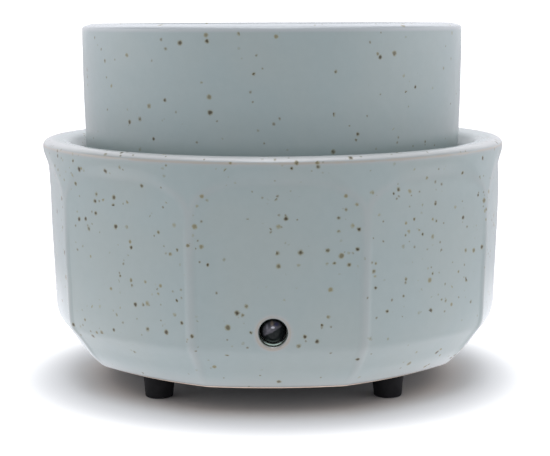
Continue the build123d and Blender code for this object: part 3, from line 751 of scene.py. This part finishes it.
# ------------------------------------------------------------------ plain finishes for the carried-over parts
def simple(name, color, rough, metal=0.0, grain=0.0, grain_mm=1.0, vary=0.08, coat=0.0, kind="noise", spec=0.5):
    t = Tree(name)
    p = t.coords()
    n1 = t.noise(p, 1 / (grain_mm * 6), 3.0, 0.55)
    c2 = tuple(min(1.0, c * (1 + vary * 2)) for c in color[:3]) + (1.0,)
    c1 = tuple(c * (1 - vary * 2) for c in color[:3]) + (1.0,)
    t.set(Base_Color=t.mix(t.ramp(n1, 0.3, 0.7), c1, c2))
    if kind == "turned":
        sep = t.node("ShaderNodeSeparateXYZ", {}, i0=p)
        rr = t.math("SQRT", t.math("ADD", t.math("MULTIPLY", sep.outputs[0], sep.outputs[0]),
                                   t.math("MULTIPLY", sep.outputs[1], sep.outputs[1])))
        comb = t.node("ShaderNodeCombineXYZ", {}, i0=rr)
        g = t.noise(comb.outputs[0], 1 / grain_mm, 4.0, 0.7)
        t.set(Base_Color=t.mix(t.ramp(g, 0.3, 0.7), c1, c2))
    elif kind == "brushed":
        st = t.node("ShaderNodeVectorMath", {"operation": "MULTIPLY"}, i0=p, i1=(0.06, 1.0, 1.0))
        g = t.noise(st.outputs[0], 1 / grain_mm, 3.0, 0.6)
    else:
        g = t.noise(p, 1 / grain_mm, 3.0, 0.6)
    t.set(Roughness=t.math("MULTIPLY_ADD", g, 0.22, rough - 0.11))
    t.set(Metallic=metal, Coat_Weight=coat)
    t.bsdf.inputs["Specular IOR Level"].default_value = spec
    if grain:
        t.set(Normal=t.bump(g, grain, 0.6))
    return t.mat


FINISH = {
    "aluminium_plate": simple("turned_aluminium", srgb(158, 159, 162), 0.34, 1.0, 0.22, 1.1, 0.10, kind="turned"),
    "silicone": simple("red_silicone", srgb(168, 60, 44), 0.6, 0.0, 0.03, 0.6),
    "steel": simple("zinc_steel", srgb(176, 178, 182), 0.32, 1.0, 0.02, 0.5, 0.05, kind="brushed"),
    "mica": simple("mica_sheet", srgb(186, 170, 140), 0.4, 0.0, 0.05, 2.0, 0.12, 0.2),
    "element": simple("wound_element", srgb(150, 130, 104), 0.5, 0.0, 0.06, 1.0, 0.15),
    "fibre": simple("ceramic_fibre", srgb(226, 224, 216), 0.95, 0.0, 0.35, 0.8, 0.05),
    "brass_post": simple("turned_brass", srgb(200, 168, 96), 0.3, 1.0, 0.02, 0.4, 0.05),
    "cover_black": simple("grained_black_cover", srgb(34, 34, 36), 0.55, 0.0, 0.06, 0.35, 0.12),
    "rubber_black": simple("black_rubber", srgb(23, 23, 24), 0.78, 0.0, 0.03, 0.5, 0.10, spec=0.08),
    "lens_dark": simple("dark_lens", srgb(14, 16, 18), 0.12, 0.0, 0.0, 1.0, 0.1, 1.0),
    "nylon_white": simple("white_nylon", srgb(222, 222, 214), 0.45, 0.0, 0.02, 0.6, 0.02),
    "lamp_red": simple("red_lamp", srgb(172, 40, 32), 0.12, 0.0, 0.0, 1.0, 0.06, 0.8),
    "board_green": simple("green_board", srgb(34, 96, 58), 0.38, 0.0, 0.02, 0.9, 0.08, 0.4),
    "resistor_body": simple("resistor_lacquer", srgb(190, 164, 118), 0.35, 0.0, 0.02, 0.6, 0.05, 0.3),
    "diode_body": simple("diode_black", srgb(30, 30, 32), 0.35, 0.0, 0.02, 0.6, 0.08, 0.2),
    "fuse_body": simple("fuse_can", srgb(190, 190, 192), 0.28, 1.0, 0.01, 0.6, 0.04),
    "sleeve_glass": simple("woven_sleeve", srgb(216, 210, 190), 0.85, 0.0, 0.12, 0.35, 0.06),
    "lead_white": simple("white_silicone_lead", srgb(224, 220, 206), 0.5, 0.0, 0.02, 0.5, 0.03),
    "lead_black": simple("black_silicone_lead", srgb(30, 30, 30), 0.5, 0.0, 0.02, 0.5, 0.08),
    "lead_red": simple("red_silicone_lead", srgb(176, 40, 34), 0.5, 0.0, 0.02, 0.5, 0.05),
}
for row in frame["record"]["subparts"]:
    ob = nodes.get(row["node"])
    mat = FINISH.get(row["material_slot"])
    if ob is None or mat is None or ob.hide_render:
        continue
    ob.data.materials.clear()
    ob.data.materials.append(mat)
    for poly in ob.data.polygons:
        poly.use_smooth = True
    ob.data.set_sharp_from_angle(angle=math.radians(32))


# ------------------------------------------------------------------ room: pale floor, soft light
def build_room():
    def maths(nt):
        def put(sock, v):
            if isinstance(v, bpy.types.NodeSocket):
                nt.links.new(v, sock)
            else:
                sock.default_value = v

        def op(kind, a, b=None):
            nd = nt.nodes.new("ShaderNodeMath")
            nd.operation = kind
            put(nd.inputs[0], a)
            if b is not None:
                put(nd.inputs[1], b)
            return nd.outputs[0]

        def window(sock, a, b):
            mr = nt.nodes.new("ShaderNodeMapRange")
            mr.interpolation_type = "SMOOTHSTEP"
            put(mr.inputs[0], sock)
            put(mr.inputs[1], a)
            put(mr.inputs[2], b)
            return mr.outputs[0]

        return op, window

    # pale floor; the object sees it as a glowing sweep, brighter towards the side lights; the camera sees it darker
    # near the object, a painted shadow
    t = Tree("pale_floor")
    p = t.coords()
    t.bsdf.inputs["Specular IOR Level"].default_value = 0.0
    nt = t.nt
    op, window = maths(nt)
    sep = nt.nodes.new("ShaderNodeSeparateXYZ")
    nt.links.new(p, sep.inputs[0])
    x, y, _z = sep.outputs
    r2 = op("ADD", op("ADD", op("MULTIPLY", x, x), op("MULTIPLY", y, y)), 1.0)
    r = op("SQRT", r2)
    side = op("DIVIDE", op("MULTIPLY", x, x), r2)
    # painted shadow: for the camera the floor's colour darkens inside about 70 to 92 mm from the middle
    t.set(Base_Color=t.mix(window(r, 70.0, 92.0), (0.62, 0.625, 0.62, 1.0), (0.95, 0.95, 0.92, 1.0)), Roughness=0.9)
    near = op("SUBTRACT", window(r, 48.0, 66.0), window(r, 84.0, 110.0))
    far = window(r, 84.0, 110.0)
    away = window(r, 150.0, 260.0)
    total = op("MULTIPLY", near, FLOOR["near"])
    total = op("ADD", total, op("MULTIPLY", op("MULTIPLY", near, side), FLOOR["near_side"]))
    total = op("ADD", total, op("MULTIPLY", far, FLOOR["far"]))
    total = op("ADD", total, op("MULTIPLY", op("MULTIPLY", far, side), FLOOR["far_side"]))
    total = op("MULTIPLY", total, op("SUBTRACT", 1.0, op("MULTIPLY", away, FLOOR["fall_off"])))
    glow = nt.nodes.new("ShaderNodeEmission")
    glow.inputs[0].default_value = FLOOR_TINT
    nt.links.new(total, glow.inputs[1])
    lp = nt.nodes.new("ShaderNodeLightPath")
    mix = nt.nodes.new("ShaderNodeMixShader")
    nt.links.new(lp.outputs["Is Camera Ray"], mix.inputs[0])
    nt.links.new(glow.outputs[0], mix.inputs[1])
    nt.links.new(t.bsdf.outputs[0], mix.inputs[2])
    nt.links.new(mix.outputs[0], t.out.inputs[0])
    me = bpy.data.meshes.new("floor")
    s = 6.0
    me.from_pydata([(-s, -s, 0), (s, -s, 0), (s, s, 0), (-s, s, 0)], [], [(0, 1, 2, 3)])
    floor = bpy.data.objects.new("floor", me)
    bpy.context.scene.collection.objects.link(floor)
    me.materials.append(t.mat)

    # a light tent: how bright it is low, halfway up and overhead, in front, at the sides and behind
    world = bpy.data.worlds.new("tent")
    bpy.context.scene.world = world
    world.use_nodes = True
    nt = world.node_tree
    nt.nodes.clear()
    op, window = maths(nt)
    out = nt.nodes.new("ShaderNodeOutputWorld")
    tc = nt.nodes.new("ShaderNodeTexCoord")
    sep = nt.nodes.new("ShaderNodeSeparateXYZ")
    nt.links.new(tc.outputs["Generated"], sep.inputs[0])
    x, y, z = sep.outputs
    flat = op("SQRT", op("MAXIMUM", op("SUBTRACT", 1.0, op("MULTIPLY", z, z)), 1e-4))
    yh = op("DIVIDE", y, flat)
    front, back = window(op("MULTIPLY", yh, -1.0), 0.1, 0.9), window(yh, 0.1, 0.9)
    side = op("SUBTRACT", op("SUBTRACT", 1.0, front), back)
    up1, up2, up3 = window(z, 0.22, 0.42), window(z, 0.66, 0.80), window(z, 0.88, 0.96)
    total = op("MULTIPLY", up3, TENT["top"])
    total = op("ADD", total, op("MULTIPLY", op("SUBTRACT", up2, up3), TENT["high"]))
    for name, band in (("low", op("SUBTRACT", 1.0, up1)), ("mid", op("SUBTRACT", up1, up2))):
        for where, mask in (("front", front), ("side", side), ("back", back)):
            total = op("ADD", total, op("MULTIPLY", op("MULTIPLY", band, mask), TENT[name + "_" + where]))
    # one soft box in front and well above the camera
    key = op("SUBTRACT", 1.0, window(op("ABSOLUTE", x), 0.12, 0.24))
    high_up = op("SUBTRACT", window(op("MULTIPLY", y, -1.0), 0.24, 0.34), window(op("MULTIPLY", y, -1.0), 0.58, 0.70))
    total = op("ADD", total, op("MULTIPLY", op("MULTIPLY", key, high_up), op("MULTIPLY", TENT["key"], window(z, 0.5, 0.6))))
    light = nt.nodes.new("ShaderNodeBackground")
    light.inputs[0].default_value = LIGHT_TINT
    nt.links.new(total, light.inputs[1])
    white = nt.nodes.new("ShaderNodeBackground")
    white.inputs[0].default_value = (1.0, 1.0, 1.0, 1.0)
    white.inputs[1].default_value = 1.3
    lp = nt.nodes.new("ShaderNodeLightPath")
    mix = nt.nodes.new("ShaderNodeMixShader")
    nt.links.new(lp.outputs["Is Camera Ray"], mix.inputs[0])
    nt.links.new(light.outputs[0], mix.inputs[1])
    nt.links.new(white.outputs[0], mix.inputs[2])
    nt.links.new(mix.outputs[0], out.inputs[0])


TENT = {"low_front": 0.86, "low_side": 2.42, "low_back": 1.1, "mid_front": 0.34, "mid_side": 0.22, "mid_back": 1.6,
        "high": 1.30, "top": 3.7, "key": 5.0}
FLOOR = {"near": 1.34, "near_side": 0.0, "far": 1.16, "far_side": 0.74, "fall_off": 0.36}
LIGHT_TINT = (1.0, 1.0, 1.06, 1.0)
FLOOR_TINT = (1.01, 1.0, 1.06, 1.0)
build_room()
view = bpy.context.scene.view_settings
view.view_transform = "Standard"
view.look = "None"
view.exposure = 0.0
view.gamma = 1.0
